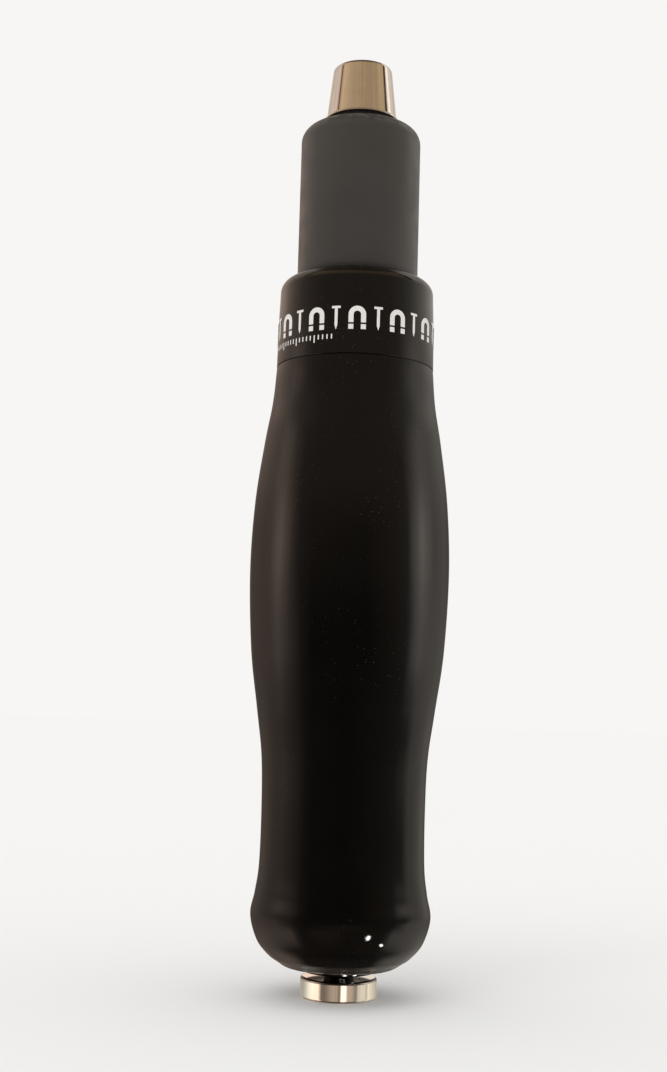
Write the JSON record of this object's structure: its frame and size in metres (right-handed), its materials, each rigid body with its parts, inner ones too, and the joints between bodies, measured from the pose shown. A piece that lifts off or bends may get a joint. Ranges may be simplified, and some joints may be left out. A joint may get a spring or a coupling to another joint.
{
  "type": "magnetic nail pick-up tool",
  "caption": "Hand-held magnetic nail pick-up: turned black grip, grey barrel, polished nose over a sprung magnet that the butt knob pulls back to drop the nails.",
  "frame": {"origin": "middle of the pull knob's flat underside, on which the tool stands upright", "axes": "+Z along the tool's axis from the knob to the magnetic nose; the body is turned about Z, and the snap rings' gaps face +X"},
  "size_m": [0.0344, 0.0344, 0.1628],
  "materials": {
    "black_gloss": "glossy moulded black",
    "sleeve_grey": "satin dark grey anodised",
    "polished_nose": "polished stainless, non-magnetic",
    "bright_chrome": "bright chrome plate",
    "dark_steel": "black-oxide steel",
    "spring_steel": "bright spring steel",
    "zinc_steel": "zinc-plated steel",
    "bronze": "sintered bronze",
    "black_rubber": "matte black rubber",
    "white_print": "white pad print on the collar",
    "magnet_nickel": "nickel-plated magnet"
  },
  "bodies": {
    "housing": {"grip": "black_gloss", "collar": "black_gloss", "sleeve": "sleeve_grey", "sleeve_ring": "spring_steel", "end_bush": "black_gloss", "guide_clip": "spring_steel", "guide_bush": "bronze", "spring_seat_lower": "zinc_steel", "return_spring": "spring_steel", "nose_bumper": "black_rubber", "nose_nut": "zinc_steel", "nose_gasket": "black_rubber", "nose": "polished_nose"},
    "carriage": {"spring_seat_upper": "zinc_steel"},
    "plunger": {"rod": "dark_steel", "rod_clips": "spring_steel", "cup_lock_nut": "zinc_steel", "magnet_cup": "zinc_steel", "magnet": "magnet_nickel", "knob": "bright_chrome", "knob_screw": "dark_steel"}
  },
  "joints": [
    {"name": "rod_pull", "type": "slide", "parent": "housing", "child": "carriage", "axis": [0, 0, -1], "range_m": [0, 0.018], "stiffness_N_per_m": 250, "springref_m": -0.02, "deforming": ["return_spring"]},
    {"name": "plunger_turn", "type": "hinge", "parent": "carriage", "child": "plunger", "pos_m": [0, 0, 0.1248], "axis": [0, 0, 1], "continuous": true}
  ]
}
